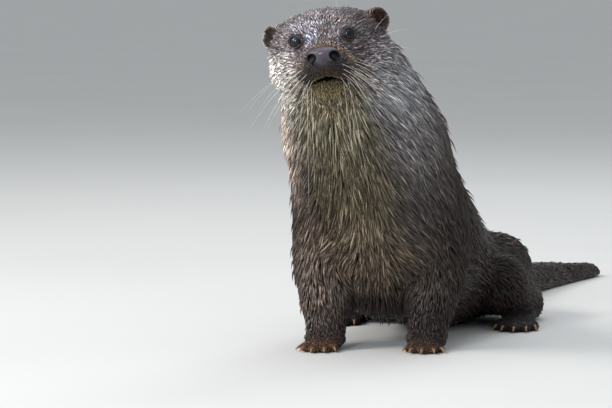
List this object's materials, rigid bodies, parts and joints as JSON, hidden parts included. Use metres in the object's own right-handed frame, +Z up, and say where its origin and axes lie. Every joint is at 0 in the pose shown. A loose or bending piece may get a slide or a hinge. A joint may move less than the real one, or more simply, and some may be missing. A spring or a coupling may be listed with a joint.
{
  "type": "river otter",
  "caption": "Life-size still model of a river otter sitting up on its haunches with straight forelegs, its long tail laid out behind.",
  "frame": {"origin": "on the floor, under the middle of the box round the whole animal", "axes": "+Z up, -Y the way the otter faces, +X to its left; the tail runs out along +Y"},
  "size_m": [0.2252, 0.8572, 0.3191],
  "materials": {
    "coat_head": "short wet fur, grey-brown with pale tips",
    "coat_throat": "long wet fur, pale olive grey",
    "coat_body": "wet fur in pointed locks, dark brown",
    "coat_legs": "short wet fur, dark brown",
    "nose": "moist bare skin, dark slate",
    "eye": "wet, near black",
    "claw": "horn, rust brown"
  },
  "bodies": {
    "root": {"neck": "coat_throat", "chest": "coat_body", "waist": "coat_body", "hips": "coat_body", "tail_base": "coat_body", "tail_middle": "coat_body", "tail_tip": "coat_body", "upper_arm_right": "coat_legs", "forearm_right": "coat_legs", "forepaw_right": "coat_legs", "foreclaw_right_1": "claw", "foreclaw_right_2": "claw", "foreclaw_right_3": "claw", "foreclaw_right_4": "claw", "foreclaw_right_5": "claw", "upper_arm_left": "coat_legs", "forearm_left": "coat_legs", "forepaw_left": "coat_legs", "foreclaw_left_1": "claw", "foreclaw_left_2": "claw", "foreclaw_left_3": "claw", "foreclaw_left_4": "claw", "foreclaw_left_5": "claw", "thigh_right": "coat_legs", "shank_right": "coat_legs", "hindfoot_right": "coat_legs", "hindclaw_right_1": "claw", "hindclaw_right_2": "claw", "hindclaw_right_3": "claw", "hindclaw_right_4": "claw", "hindclaw_right_5": "claw", "thigh_left": "coat_legs", "shank_left": "coat_legs", "hindfoot_left": "coat_legs", "hindclaw_left_1": "claw", "hindclaw_left_2": "claw", "hindclaw_left_3": "claw", "hindclaw_left_4": "claw", "hindclaw_left_5": "claw", "head": "coat_head", "lower_jaw": "coat_throat", "nose": "nose", "eye_left": "eye", "eye_right": "eye", "ear_left": "coat_head", "ear_right": "coat_head"}
  },
  "joints": []
}
